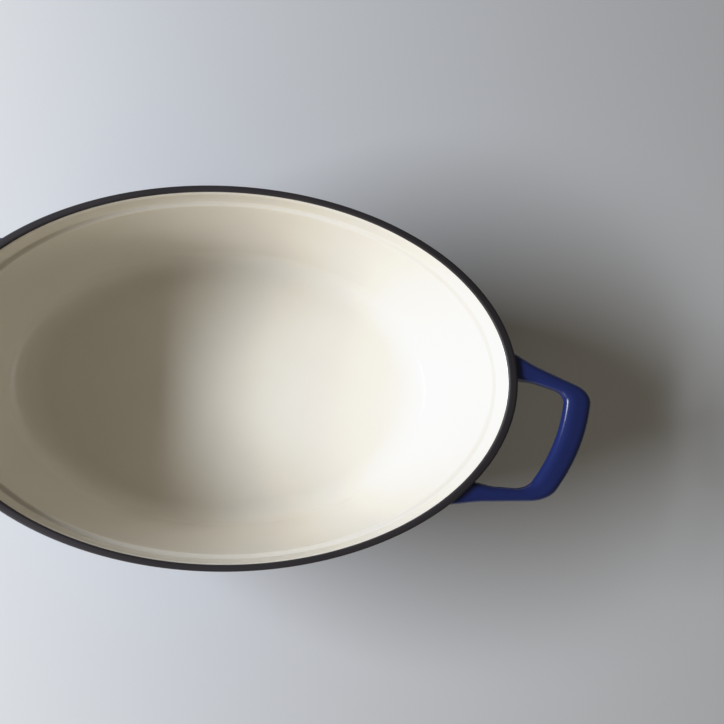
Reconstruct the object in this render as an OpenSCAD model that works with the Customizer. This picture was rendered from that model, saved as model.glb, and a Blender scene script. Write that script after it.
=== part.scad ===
// Enamelled cast iron dutch oven: an open oval pot with two loop handles.
// Every shape is drawn on a round plan about the Z axis, and then stretched along X into the oval.
// Where the mouth is as long as it is wide, the pot is a round one.

/* [Mouth and height] */
// Inside width of the mouth, across the pot
mouth_width = 210; // [200:2:240]
// Inside length of the mouth, along the pot
mouth_length = 324; // [240:2:340]
// Height from the surface that the pot stands on to the top of the rim
pot_height = 105; // [95:1:120]

/* [Wall and floor] */
// Thickness of the wall and the floor, with their coats
wall = 4.5; // [4:0.1:5.5]
// How far the wall leans in towards the floor, in degrees
wall_lean = 8.5; // [7:0.5:11]
// Radius of the round between the wall and the floor, inside
floor_round = 15; // [12:0.5:18]

/* [Rim] */
// Width of the rim's top, across the pot
rim_width = 3.8; // [3.4:0.1:4.4]
// Radius of the rim's two top edges
rim_round = 1.2; // [0.8:0.1:1.5]
// How far the black coat reaches down the outside of the rim
rim_drop = 2; // [2:0.2:3]
// Depth of the steeper band inside the mouth
band_depth = 15; // [12:1:20]
// Width of the small ledge at the foot of that band
ledge_width = 2.4; // [1.2:0.1:2.8]
// How far that ledge falls inwards
ledge_fall = 1; // [0.6:0.1:1.6]

/* [Enamel] */
// Thickness of each coat
coat = 0.4; // [0.3:0.1:0.5]

/* [Foot ring] */
// Height of the ring that the pot stands on
foot_height = 1.5; // [1:0.1:2.5]
// Width of the ring's flat face
foot_width = 5; // [4:0.5:7]

/* [Handles] */
// Angle between the pot's length and the handles, before the stretch
handle_bearing = 15.8; // [0:0.2:18]
// How far a handle stands out from the mouth, before the stretch
handle_reach = 35.8; // [32:0.2:40]
// Half of a handle's width over its arms, at the wall
arm_spread = 44; // [40:1:48]
// Width of an arm where it meets the wall
arm_width = 10.5; // [9:0.5:12]
// Thickness of an arm where it meets the wall
arm_thickness = 13; // [11:0.5:15]
// Width of the bar that the fingers go behind
bar_width = 10.8; // [9.4:0.2:12.4]
// Thickness of that bar
bar_thickness = 9; // [8:0.5:10]
// Depth of the handle's top face below the rim
handle_drop = 3; // [3:0.5:12]

/* [Hidden] */
$fn = 96;

cream = [0.93, 0.90, 0.83];
blue = [0.08, 0.12, 0.42];
black = [0.12, 0.12, 0.12];
iron = [0.33, 0.33, 0.34];

stretch = mouth_length / mouth_width;
mouth_r = mouth_width / 2;
rim_r = mouth_r + rim_width;
floor_z = foot_height + wall;
past = 1; // how far a cutting shape runs past what it cuts

// The band narrows by band_lean, and then by the ledge at its foot
band_lean = 1.4;
step_r = mouth_r - band_lean - ledge_width;
step_z = pot_height - band_depth - ledge_fall;

// Centre of the floor round, which touches both the leaning wall and the floor
round_z = floor_z + floor_round;
round_r = step_r - (step_z - round_z) * tan(wall_lean) - floor_round / cos(wall_lean);

foot_setback = 1; // from the foot of the floor round in to the foot ring
foot_outer_r = round_r - foot_setback;
foot_inner_r = foot_outer_r - foot_width;

// A handle on the round plan. Its bar is an arc about the pot's axis, and its arms draw together.
bar_r = mouth_r + handle_reach;
bar_corner = 12.5; // radius of the loop's outer corners
arm_slope = 17; // how far the arms' outer sides spread towards the wall, in degrees
gap_r = bar_r - bar_width;
gap_corner = 8; // radius of the finger gap's corners
gap_slope = 9.5; // how far the gap's sides spread towards the wall, in degrees
handle_sweep = 60; // a handle's blank is turned through this angle to each side
handle_top = pot_height - handle_drop;
nose_r = bar_thickness / 2;

// ---- Sections: x is the distance from the pot's axis, y is the height ----

// What lies within a surface that is `out` beyond the inner wall, from the floor up to the ledge
module bowl(out) {
    side = floor_round + out;
    polygon([
        [0, floor_z - out], [round_r, floor_z - out], [round_r, round_z],
        [round_r + side * cos(wall_lean), round_z - side * sin(wall_lean)],
        [step_r + out / cos(wall_lean), step_z], [0, step_z]
    ]);
    translate([round_r, round_z]) circle(side);
}

// The hollow of the pot, with its surface moved out by the thickness of a coat or not at all
module hollow(out) {
    bowl(out);
    polygon([
        [0, step_z], [step_r + out / cos(wall_lean), step_z],
        [mouth_r - band_lean + out, step_z + ledge_fall],
        [mouth_r + out, pot_height - rim_round], [mouth_r + out, pot_height + past],
        [0, pot_height + past]
    ]);
}

// The whole outer form of the pot, without a hollow, with its surface moved in by a coat or not
module outer_form(inset) {
    side = wall - inset;
    top = pot_height - rim_round;
    bowl(side);
    polygon([
        [0, step_z], [step_r + side / cos(wall_lean), step_z],
        [rim_r - inset, pot_height - rim_drop], [rim_r - inset, top],
        [rim_r - rim_round, top], [rim_r - rim_round, pot_height - inset], [0, pot_height - inset]
    ]);
    translate([rim_r - rim_round, top]) circle(rim_round - inset);
}

// What the round on the rim's inner edge takes off
module mouth_edge(inset) {
    difference() {
        translate([mouth_r - past, pot_height - rim_round]) square([past + rim_round, rim_round + past]);
        translate([mouth_r + rim_round, pot_height - rim_round]) circle(rim_round - inset);
    }
}

module shell(inset) {
    difference() {
        outer_form(inset);
        hollow(inset);
        mouth_edge(inset);
    }
}

// A band of the section between two heights, from one distance to another
module zone(r1, r2, z1, z2) {
    translate([r1, z1]) square([r2 - r1, z2 - z1]);
}

// A handle's side: a flat top, a tapered underside and a round nose
module handle_side(inset) {
    top = handle_top - inset;
    arm_bottom = handle_top - arm_thickness + inset;
    polygon([
        [mouth_r / 2, arm_bottom], [mouth_r, arm_bottom],
        [bar_r - nose_r, handle_top - bar_thickness + inset], [bar_r - nose_r, top], [mouth_r / 2, top]
    ]);
    translate([bar_r - nose_r, handle_top - nose_r]) circle(nose_r - inset);
}

// ---- Plans: x runs out from the pot's axis along the handle ----

// A loop's outline: an arc about the pot's axis, two round corners and two sides that spread inwards.
// At the mouth's edge each side is `spread` from the middle.
module loop_plan(far_r, corner_r, spread, slope, inset) {
    across = spread * cos(slope) + mouth_r * sin(slope) - corner_r;
    along = sqrt(pow(far_r - corner_r, 2) - pow(across, 2));
    corner = [along * cos(slope) + across * sin(slope), across * cos(slope) - along * sin(slope)];
    side = corner + (corner_r - inset) * [sin(slope), cos(slope)];
    root = side + (along - mouth_r / 2) * [-cos(slope), sin(slope)];
    intersection() {
        circle(far_r - inset);
        polygon([[0, 0], [2 * corner.x, -2 * corner.y], [2 * corner.x, 2 * corner.y]]);
    }
    for (y = [-corner.y, corner.y]) translate([corner.x, y]) circle(corner_r - inset);
    polygon([
        [root.x, -root.y], [side.x, -side.y], [corner.x, -corner.y], corner, side, root
    ]);
}

module handle_plan(inset) {
    difference() {
        loop_plan(bar_r, bar_corner, arm_spread, arm_slope, inset);
        loop_plan(gap_r, gap_corner, arm_spread - arm_width, gap_slope, -inset);
    }
}

// ---- Solids on the round plan ----

module handle_blank(inset) {
    intersection() {
        linear_extrude(height = pot_height) handle_plan(inset);
        rotate([0, 0, -handle_sweep]) rotate_extrude(angle = 2 * handle_sweep) handle_side(inset);
    }
}

// The right handle points along +X, turned by its bearing, and the left one is half a turn round
module at_handles(turns) {
    for (turn = turns) rotate([0, 0, turn - handle_bearing]) children();
}

module handle_casting(turn) {
    color(iron) scale([stretch, 1, 1]) at_handles([turn]) difference() {
        handle_blank(coat);
        rotate_extrude() outer_form(coat);
    }
}

// The coat is made in two layers, which meet at the middle of the round nose
module handle_enamel(turn) {
    seam = handle_top - nose_r;
    for (low = [0, seam]) color(blue) scale([stretch, 1, 1]) at_handles([turn]) intersection() {
        difference() {
            handle_blank(0);
            handle_blank(coat);
            rotate_extrude() outer_form(0);
        }
        translate([0, -mouth_r, low]) cube([2 * mouth_r, 2 * mouth_r, seam]);
    }
}

// A section turned about the axis and stretched, a quarter at a time
module turned() {
    for (turn = [0:90:270]) scale([stretch, 1, 1]) rotate([0, 0, turn]) rotate_extrude(angle = 90) children();
}

// ---- Sub-parts ----

module pot_casting() {
    color(iron) turned() shell(coat);
}

module foot_ring() {
    color(iron) difference() {
        turned() zone(foot_inner_r, foot_outer_r, -past, foot_height + coat);
        translate([-mouth_length, -mouth_width, -2 * past]) cube([2 * mouth_length, 2 * mouth_width, 2 * past]);
    }
}

module interior_enamel() {
    color(cream) turned() difference() {
        hollow(coat);
        hollow(0);
        zone(0, 2 * mouth_r, pot_height - rim_round, pot_height + 2 * past);
    }
}

module exterior_enamel() {
    color(blue) difference() {
        turned() difference() {
            outer_form(0);
            outer_form(coat);
            zone(0, 2 * mouth_r, pot_height - rim_drop, pot_height + past);
            zone(0, foot_outer_r, 0, floor_z);
        }
        scale([stretch, 1, 1]) at_handles([0, 180]) handle_blank(coat);
    }
}

module rim_enamel() {
    middle_r = mouth_r + rim_width / 2;
    color(black) turned() intersection() {
        difference() {
            shell(0);
            shell(coat);
        }
        union() {
            zone(mouth_r, middle_r, pot_height - rim_round, pot_height);
            zone(middle_r, rim_r, pot_height - rim_drop, pot_height);
        }
    }
}

module base_enamel() {
    color(black) turned() zone(0, foot_inner_r, foot_height, foot_height + coat);
}

module right_handle_casting() {
    handle_casting(0);
}

module left_handle_casting() {
    handle_casting(180);
}

module right_handle_enamel() {
    handle_enamel(0);
}

module left_handle_enamel() {
    handle_enamel(180);
}

pot_casting();
foot_ring();
right_handle_casting();
left_handle_casting();
interior_enamel();
exterior_enamel();
rim_enamel();
base_enamel();
right_handle_enamel();
left_handle_enamel();
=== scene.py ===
"""Looks of the cast iron dutch oven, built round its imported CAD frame. Every length is in metres."""

import math

import bmesh
import bpy
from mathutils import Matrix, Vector


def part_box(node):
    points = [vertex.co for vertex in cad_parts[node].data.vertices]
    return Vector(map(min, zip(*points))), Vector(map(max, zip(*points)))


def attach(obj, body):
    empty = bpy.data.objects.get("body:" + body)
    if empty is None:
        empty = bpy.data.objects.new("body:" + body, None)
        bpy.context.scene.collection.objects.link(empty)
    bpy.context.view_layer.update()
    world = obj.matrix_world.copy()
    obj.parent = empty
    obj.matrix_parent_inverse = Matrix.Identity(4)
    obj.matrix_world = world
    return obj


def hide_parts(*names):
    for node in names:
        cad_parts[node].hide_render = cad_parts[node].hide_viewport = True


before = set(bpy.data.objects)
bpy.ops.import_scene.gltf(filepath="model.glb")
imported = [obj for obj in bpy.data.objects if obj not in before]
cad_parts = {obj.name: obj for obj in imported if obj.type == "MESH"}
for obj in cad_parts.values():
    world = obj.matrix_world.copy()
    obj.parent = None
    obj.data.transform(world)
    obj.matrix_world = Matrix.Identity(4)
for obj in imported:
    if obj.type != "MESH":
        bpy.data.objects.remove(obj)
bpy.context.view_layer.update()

# ---- Sizes that the CAD model gives ----

rim_low, rim_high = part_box("rim_enamel")
inside_low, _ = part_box("interior_enamel")
base_low, base_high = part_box("base_enamel")
_, foot_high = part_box("foot_ring")
_, handle_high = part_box("right_handle_enamel")

STRETCH = rim_high[0] / rim_high[1]  # the round plan is stretched this much along X
TOP = rim_high[2]
RIM_R = rim_high[1]
RIM_FOOT_Z = rim_low[2]
BASE_Z = base_low[2]
COAT = base_high[2] - base_low[2]
FLOOR_Z = inside_low[2] + COAT
FOOT_OUTER_R = foot_high[1]
FOOT_INNER_R = base_high[1]
HANDLE_TOP = handle_high[2]

# ---- Sizes of the design that no box gives ----

RIM_WIDTH = 0.0038
RIM_ROUND = 0.0012
MOUTH_R = RIM_R - RIM_WIDTH
BAND_DEPTH = 0.015
BAND_LEAN = 0.0014
LEDGE_WIDTH = 0.0024
LEDGE_FALL = 0.0010
LEDGE_ROUND = 0.0012
STEP_Z = TOP - BAND_DEPTH - LEDGE_FALL  # the step is the ledge's inner edge
STEP_R = MOUTH_R - BAND_LEAN - LEDGE_WIDTH
STEP_ROUND = 0.0016
WALL = FLOOR_Z - BASE_Z
WALL_LEAN = math.radians(8.5)
FLOOR_ROUND = 0.015
OUTSIDE_ROUND = 0.030  # where the outer wall begins to lean
FOOT_ROUND = 0.0006

HANDLE_BEARING = math.radians(-15.8)
HANDLE_REACH = 0.0358
HANDLE_EDGE = 0.0038
BAR_WIDTH = 0.0108
BAR_THICKNESS = 0.009
BAR_R = MOUTH_R + HANDLE_REACH
BAR_MIDDLE_R = BAR_R - BAR_WIDTH / 2
BAR_CORNER = 0.0125
ARM_SPREAD = 0.044
ARM_WIDTH = 0.0105
ARM_THICKNESS = 0.013
ARM_SLOPE = math.radians(17)
GAP_R = BAR_R - BAR_WIDTH
GAP_CORNER = 0.008
GAP_SPREAD = ARM_SPREAD - ARM_WIDTH
GAP_SLOPE = math.radians(9.5)
FLARE = 0.002  # an arm swells by this much on each side, at the wall
FLARE_REACH = 0.010  # and the swell begins this far from the wall
ROOT_R = MOUTH_R + 0.0015  # an arm's end is hidden inside the wall
WALL_R = RIM_R - 0.0003  # the outside of the wall, level with the top of the arms

# ---- Steps of the meshes ----

STEPS_ROUND = 288  # round the pot
SECTION_STEPS, RIM_STEPS, FOOT_STEPS = 14, 8, 4  # round each arc of a section
ARM_STEPS, CORNER_STEPS, BAR_STEPS, EDGE_STEPS = 20, 14, 24, 8  # along and round a handle
ARM_CROWDING = 1.6  # above 1, an arm's steps draw closer together towards the wall
LONGEST_STEP = 0.006
SAME_POINT = 1e-7


# ---- Meshes ----

def piece(name, vertices, faces, material, node_names):
    """A smooth-shaded mesh that rides on the pot and stands for the CAD nodes named."""
    mesh = bpy.data.meshes.new(name)
    mesh.from_pydata(vertices, [], faces)
    made = bmesh.new()
    made.from_mesh(mesh)
    bmesh.ops.recalc_face_normals(made, faces=made.faces)
    made.to_mesh(mesh)
    made.free()
    mesh.polygons.foreach_set("use_smooth", [True] * len(mesh.polygons))
    mesh.materials.append(material)
    thing = bpy.data.objects.new(name, mesh)
    bpy.context.scene.collection.objects.link(thing)
    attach(thing, "root")
    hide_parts(*node_names)


def rounded_path(corners, steps):
    """A path through (r, z, radius) corners, with an arc of that radius in place of each inner one."""
    path = [Vector(corners[0][:2])]
    for before, corner, after in zip(corners, corners[1:], corners[2:]):
        here = Vector(corner[:2])
        back = (Vector(before[:2]) - here).normalized()
        on = (Vector(after[:2]) - here).normalized()
        half = back.angle(on) / 2
        radius = corner[2]
        centre = here + (back + on).normalized() * radius / math.sin(half)
        start = here + back * radius / math.tan(half) - centre
        end = here + on * radius / math.tan(half) - centre
        turn = math.copysign(math.pi - 2 * half, start.x * end.y - start.y * end.x)
        for step in range(steps + 1):
            angle = turn * step / steps
            path.append(centre + Vector((
                start.x * math.cos(angle) - start.y * math.sin(angle),
                start.x * math.sin(angle) + start.y * math.cos(angle),
            )))
    path.append(Vector(corners[-1][:2]))
    return [a for a, b in zip(path, path[1:]) if (b - a).length > SAME_POINT] + path[-1:]


def subdivided(path):
    """The same path with no stretch longer than the longest step."""
    out = [path[0]]
    for a, b in zip(path, path[1:]):
        parts = max(1, math.ceil((b - a).length / LONGEST_STEP))
        out += [a.lerp(b, part / parts) for part in range(1, parts + 1)]
    return out


def on_plan(r, angle, z):
    """A point of the round plan, stretched into the oval."""
    return (STRETCH * r * math.cos(angle), r * math.sin(angle), z)


def turned(name, outside, inside, material, slot, *node_names):
    """A ring, bowl or disc between two paths of (r, z) points, turned about the pot's axis."""
    loop = outside + inside[::-1]
    vertices, rows = [], []
    for point in loop:
        if point.x < SAME_POINT:
            rows.append([len(vertices)] * STEPS_ROUND)
            vertices.append((0, 0, point.y))
        else:
            rows.append(list(range(len(vertices), len(vertices) + STEPS_ROUND)))
            vertices += [
                on_plan(point.x, math.tau * step / STEPS_ROUND, point.y) for step in range(STEPS_ROUND)
            ]
    faces = []
    for this, following in zip(rows, rows[1:] + rows[:1]):
        for step in range(STEPS_ROUND):
            after = (step + 1) % STEPS_ROUND
            face = list(dict.fromkeys((this[step], this[after], following[after], following[step])))
            if len(face) > 2:
                faces.append(face)
    piece(name, vertices, faces, material, node_names)


# ---- The pot's sections: r is the distance from the axis on the round plan ----

def wall_r(out):
    """Where the leaning wall would meet the foot of the ledge, `out` beyond the inner surface."""
    return STEP_R + out / math.cos(WALL_LEAN)


def inner_path(out):
    """From the rim's round down the band, over the ledge, down the wall and across the floor."""
    floor_z = FLOOR_Z - out
    corner_r = wall_r(out) - (STEP_Z - floor_z) * math.tan(WALL_LEAN)
    return subdivided(rounded_path([
        (MOUTH_R + out, TOP - RIM_ROUND),
        (MOUTH_R - BAND_LEAN + out, STEP_Z + LEDGE_FALL, LEDGE_ROUND + out),
        (wall_r(out), STEP_Z, STEP_ROUND - out),
        (corner_r, floor_z, FLOOR_ROUND + out),
        (0, floor_z),
    ], SECTION_STEPS))


def outer_path(inset):
    """From the foot of the rim's black coat down the outside to the foot ring."""
    out = WALL - inset
    base_z = BASE_Z + inset
    corner_r = wall_r(out) - (STEP_Z - base_z) * math.tan(WALL_LEAN)
    return subdivided(rounded_path([
        (RIM_R - inset, RIM_FOOT_Z),
        (wall_r(out), STEP_Z, OUTSIDE_ROUND),
        (corner_r, base_z, FLOOR_ROUND + out),
        (FOOT_OUTER_R, base_z),
    ], SECTION_STEPS))


def rim_path(inset):
    """Over the top of the rim, from the cream coat inside to the blue one outside."""
    return rounded_path([
        (MOUTH_R + inset, TOP - RIM_ROUND),
        (MOUTH_R + inset, TOP - inset, RIM_ROUND - inset),
        (RIM_R - inset, TOP - inset, RIM_ROUND - inset),
        (RIM_R - inset, RIM_FOOT_Z),
    ], RIM_STEPS)


def underside_path(z):
    """From the middle of the underside out to the foot ring."""
    return [Vector((0, z)), Vector((FOOT_INNER_R, z))]


def foot_path():
    """Down the inside of the foot ring, across its standing face and up its outside."""
    return rounded_path([
        (FOOT_INNER_R, BASE_Z + COAT),
        (FOOT_INNER_R, 0, FOOT_ROUND),
        (FOOT_OUTER_R, 0, FOOT_ROUND),
        (FOOT_OUTER_R, BASE_Z + COAT),
    ], FOOT_STEPS)


# ---- Materials ----

def new_material(name):
    material = bpy.data.materials.new(name)
    material.use_nodes = True
    nodes, links = material.node_tree.nodes, material.node_tree.links
    return material, nodes, links, nodes["Principled BSDF"]


def noise(nodes, links, where, scale, detail=3.0, rough=0.5):
    made = nodes.new("ShaderNodeTexNoise")
    made.inputs["Scale"].default_value = scale
    made.inputs["Detail"].default_value = detail
    made.inputs["Roughness"].default_value = rough
    links.new(where.outputs["Object"], made.inputs["Vector"])
    return made


def ramp(nodes, links, value, stops):
    """A colour for each value, between (position, colour) stops."""
    made = nodes.new("ShaderNodeValToRGB")
    for element, (at, colour) in zip(made.color_ramp.elements, stops):
        element.position = at
        element.color = (*colour, 1)
    links.new(value, made.inputs["Fac"])
    return made


def bump(nodes, links, height, depth, before=None):
    """Relief of this depth, over the relief before it where there is one."""
    made = nodes.new("ShaderNodeBump")
    made.inputs["Strength"].default_value = 1.0
    made.inputs["Distance"].default_value = depth
    links.new(height, made.inputs["Height"])
    if before:
        links.new(before.outputs["Normal"], made.inputs["Normal"])
    return made


def enamel(name, colours, roughness, peel, peel_depth, grain_depth=0.0):
    """Fired enamel: a slow drift of colour, a faint orange peel and, where it is matt, a fine grain."""
    material, nodes, links, shader = new_material(name)
    where = nodes.new("ShaderNodeTexCoord")
    drift = noise(nodes, links, where, scale=9.0, detail=4.0, rough=0.6)
    colour = ramp(nodes, links, drift.outputs["Fac"], [(0.3, colours[0]), (0.7, colours[1])])
    links.new(colour.outputs["Color"], shader.inputs["Base Color"])
    gloss = noise(nodes, links, where, scale=30.0)
    gloss_range = nodes.new("ShaderNodeMapRange")
    gloss_range.inputs["To Min"].default_value = roughness[0]
    gloss_range.inputs["To Max"].default_value = roughness[1]
    links.new(gloss.outputs["Fac"], gloss_range.inputs["Value"])
    links.new(gloss_range.outputs["Result"], shader.inputs["Roughness"])
    waves = noise(nodes, links, where, scale=peel, detail=2.0)
    surface = bump(nodes, links, waves.outputs["Fac"], peel_depth)
    if grain_depth:
        grain = noise(nodes, links, where, scale=2600.0, detail=2.0)
        surface = bump(nodes, links, grain.outputs["Fac"], grain_depth, surface)
    links.new(surface.outputs["Normal"], shader.inputs["Normal"])
    shader.inputs["IOR"].default_value = 1.5
    return material


def cast_iron(dark, light, grain_depth):
    """Bare cast iron: grey, rough and grainy."""
    material, nodes, links, shader = new_material("cast_iron")
    where = nodes.new("ShaderNodeTexCoord")
    grain = noise(nodes, links, where, scale=900.0, detail=6.0, rough=0.7)
    colour = ramp(nodes, links, grain.outputs["Fac"], [(0.35, dark), (0.7, light)])
    links.new(colour.outputs["Color"], shader.inputs["Base Color"])
    surface = bump(nodes, links, grain.outputs["Fac"], grain_depth)
    links.new(surface.outputs["Normal"], shader.inputs["Normal"])
    shader.inputs["Metallic"].default_value = 0.7
    shader.inputs["Roughness"].default_value = 0.55
    return material


CREAM = enamel(
    "cream_enamel", colours=[(0.87, 0.813, 0.71), (0.91, 0.858, 0.76)], roughness=(0.16, 0.24),
    peel=160.0, peel_depth=0.00002,
)
BLUE = enamel(
    "blue_enamel", colours=[(0.013, 0.022, 0.110), (0.019, 0.032, 0.150)], roughness=(0.16, 0.26),
    peel=190.0, peel_depth=0.00004,
)
BLACK = enamel(
    "black_enamel", colours=[(0.023, 0.019, 0.021), (0.040, 0.033, 0.036)], roughness=(0.42, 0.56),
    peel=300.0, peel_depth=0.00003, grain_depth=0.00002,
)
IRON = cast_iron(dark=(0.030, 0.029, 0.029), light=(0.11, 0.105, 0.10), grain_depth=0.00012)


# ---- The pot ----

def pot():
    turned("cream_coat", inner_path(0), inner_path(COAT), CREAM, "cream_enamel", "interior_enamel")
    turned("blue_coat", outer_path(0), outer_path(COAT), BLUE, "blue_enamel", "exterior_enamel")
    turned("rim_coat", rim_path(0), rim_path(COAT), BLACK, "black_enamel", "rim_enamel")
    turned("underside_coat", underside_path(BASE_Z), underside_path(BASE_Z + COAT),
           BLACK, "black_enamel", "base_enamel")
    turned("standing_ring", foot_path(), [], IRON, "cast_iron", "foot_ring")
    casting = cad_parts["pot_casting"]
    casting.data.materials.clear()
    casting.data.materials.append(IRON)


# ---- The handles ----

def arc(centre, radius, start, end, steps):
    angles = [start + (end - start) * step / steps for step in range(steps + 1)]
    return [centre + Vector((radius * math.cos(a), radius * math.sin(a))) for a in angles]


def flare(r):
    """How far an arm's sides stand out from their straight lines, at this distance from the axis."""
    share = min(max((WALL_R + FLARE_REACH - r) / FLARE_REACH, 0), 1)
    return FLARE * share * share * (3 - 2 * share)


def loop_edge(far_r, corner_r, spread, slope, inset, side):
    """One edge of a handle's loop, from root to root, with its sides flared at the wall.

    The sides spread by `slope` towards the wall. `side` is 1 for the outer edge and -1 for the inner.
    """
    along_way = Vector((math.cos(slope), -math.sin(slope)))
    across_way = Vector((math.sin(slope), math.cos(slope)))
    across = spread * math.cos(slope) + MOUTH_R * math.sin(slope) - corner_r
    along = math.sqrt((far_r - corner_r) ** 2 - across ** 2)
    radius = corner_r - side * inset
    root_along = math.sqrt(ROOT_R ** 2 - (across + radius) ** 2)
    half = []
    for step in range(ARM_STEPS):
        at = root_along + (along - root_along) * (step / ARM_STEPS) ** ARM_CROWDING
        point = along_way * at + across_way * (across + radius)
        bearing = math.atan2(point.y, point.x) + side * flare(point.length) / point.length
        half.append(point.length * Vector((math.cos(bearing), math.sin(bearing))))
    centre = along_way * along + across_way * across
    bearing = math.atan2(centre.y, centre.x)
    half += arc(centre, radius, math.pi / 2 - slope, bearing, CORNER_STEPS)[:-1]
    bar = arc(Vector((0, 0)), far_r - side * inset, bearing, -bearing, BAR_STEPS)
    return half + bar + [Vector((p.x, -p.y)) for p in reversed(half)]


def handle_section(width, height, edge):
    """A rounded rectangle about its middle, counter-clockwise, with x as a share of half the width."""
    points = []
    for quarter, (sx, sz) in enumerate(((1, 1), (-1, 1), (-1, -1), (1, -1))):
        centre = Vector((sx * (width / 2 - edge), sz * (height / 2 - edge)))
        start = quarter * math.pi / 2
        points += arc(centre, edge, start, start + math.pi / 2, EDGE_STEPS)
    return [(p.x / (width / 2), p.y) for p in points]


def handle_rings(turn, inset):
    """The rings of points that a handle's surface runs through, from one root to the other."""
    far = loop_edge(BAR_R, BAR_CORNER, ARM_SPREAD, ARM_SLOPE, inset, 1)
    near = loop_edge(GAP_R, GAP_CORNER, GAP_SPREAD, GAP_SLOPE, inset, -1)
    rings = []
    for outer, inner in zip(far, near):
        middle, across = (outer + inner) / 2, (outer - inner) / 2
        share = min(max((middle.length - MOUTH_R) / (BAR_MIDDLE_R - MOUTH_R), 0), 1)
        height = ARM_THICKNESS + (BAR_THICKNESS - ARM_THICKNESS) * share
        low = HANDLE_TOP - height + inset - flare(middle.length)
        high = HANDLE_TOP - inset
        ring = []
        for x, z in handle_section(across.length * 2, high - low, HANDLE_EDGE - inset):
            point = middle + across * x
            bearing = math.atan2(point.y, point.x) + HANDLE_BEARING + turn
            ring.append(on_plan(point.length, bearing, (high + low) / 2 + z))
        rings.append(ring)
    return rings


def skin(rings, first):
    """Faces between each ring and the next, for rings whose vertices start at `first`."""
    count = len(rings[0])
    faces = []
    for row in range(len(rings) - 1):
        for step in range(count):
            after = (step + 1) % count
            a, b = first + row * count, first + (row + 1) * count
            faces.append((a + step, a + after, b + after, b + step))
    return faces


def handle(side, turn):
    """A handle's iron core, and its coat with an outer and an inner skin that meet at the roots."""
    core = handle_rings(turn, COAT)
    count = len(core[0])
    last = (len(core) - 1) * count
    vertices = [point for ring in core for point in ring]
    faces = skin(core, 0) + [tuple(range(count)), tuple(range(last, last + count))]
    piece(f"{side}_handle_iron", vertices, faces, IRON, [f"{side}_handle_casting"])
    outside = handle_rings(turn, 0)
    first = len(vertices)
    faces = skin(core, 0) + skin(outside, first)
    for end in (0, last):
        for step in range(count):
            after = (step + 1) % count
            faces.append((end + step, end + after, first + end + after, first + end + step))
    vertices = vertices + [point for ring in outside for point in ring]
    piece(f"{side}_handle_coat", vertices, faces, BLUE, [f"{side}_handle_enamel"])


# ---- Camera, floor, light and tone ----

EYE_AT = (-0.0153, -0.0439, TOP + 0.4849)
EYE_TURN = (6.03, -10.38, 0.71)  # in degrees
LENS, SENSOR_WIDTH = 42.67, 36.0  # in millimetres

FLOOR_HALF = 3.0  # half of the floor's side
FLOOR_COLOUR = (0.72, 0.71, 0.70, 1)
FLOOR_ROUGHNESS = 0.8

ROOM_COLOUR = (1.0, 0.93, 0.76, 1)
ROOM_LIGHT = 0.10

BRIGHTEST = 3.0  # the light at which the picture is white
SHOULDER = [(0.5, 0.5), (0.75, 0.775), (1.0, 0.94), (1.4, 0.968)]  # (light, how light it is shown)
ALL_COLOURS = 3  # the curve that works on red, green and blue together


def camera():
    """Almost straight above the mouth, leaning towards the right handle."""
    eye = bpy.data.cameras.new("camera")
    eye.lens = LENS
    eye.sensor_width = SENSOR_WIDTH
    thing = bpy.data.objects.new("camera", eye)
    thing.location = EYE_AT
    thing.rotation_euler = [math.radians(angle) for angle in EYE_TURN]
    bpy.context.scene.collection.objects.link(thing)
    bpy.context.scene.camera = thing


def floor():
    mesh = bpy.data.meshes.new("floor")
    corners = [(x * FLOOR_HALF, y * FLOOR_HALF, 0) for x, y in ((-1, -1), (1, -1), (1, 1), (-1, 1))]
    mesh.from_pydata(corners, [], [(0, 1, 2, 3)])
    material, _, _, shader = new_material("pale_floor")
    shader.inputs["Base Color"].default_value = FLOOR_COLOUR
    shader.inputs["Roughness"].default_value = FLOOR_ROUGHNESS
    mesh.materials.append(material)
    thing = bpy.data.objects.new("floor", mesh)
    bpy.context.scene.collection.objects.link(thing)


def area_light(name, bearing, rise, away, size, power, colour):
    """A soft light seen from the pot at this bearing, clockwise from -X, and this rise, in degrees."""
    light = bpy.data.lights.new(name, "AREA")
    light.shape = "RECTANGLE"
    light.size, light.size_y = size
    light.energy = power
    light.color = colour
    turn, up = math.radians(bearing), math.radians(rise)
    way = Vector((-math.cos(turn) * math.cos(up), math.sin(turn) * math.cos(up), math.sin(up)))
    thing = bpy.data.objects.new(name, light)
    thing.location = way * away + Vector((0, 0, TOP / 2))
    thing.rotation_euler = way.to_track_quat("Z", "Y").to_euler()
    bpy.context.scene.collection.objects.link(thing)


def lights():
    """A window to the left, a weak glow from a wall at the front left, and the room's own light."""
    area_light("window", bearing=0.5, rise=32.5, away=1.5, size=(1.05, 0.30), power=33,
               colour=(0.84, 0.90, 1.0))
    area_light("far_wall", bearing=-58, rise=14, away=1.5, size=(1.2, 0.4), power=4.0,
               colour=(1.0, 0.91, 0.76))
    world = bpy.data.worlds.new("soft_room")
    world.use_nodes = True
    background = world.node_tree.nodes["Background"]
    background.inputs["Color"].default_value = ROOM_COLOUR
    background.inputs["Strength"].default_value = ROOM_LIGHT
    bpy.context.scene.world = world


def tone():
    """A camera's tone curve: straight up to the half tones, then a shoulder that holds the lit enamel."""
    view = bpy.context.scene.view_settings
    view.view_transform = "Standard"
    view.use_curve_mapping = True
    curves = view.curve_mapping
    curves.white_level = (BRIGHTEST, BRIGHTEST, BRIGHTEST)
    points = curves.curves[ALL_COLOURS].points
    for light, shown in SHOULDER:
        points.new(light / BRIGHTEST, shown)
    curves.update()


camera()
pot()
handle("right", 0)
handle("left", math.pi)
floor()
lights()
tone()
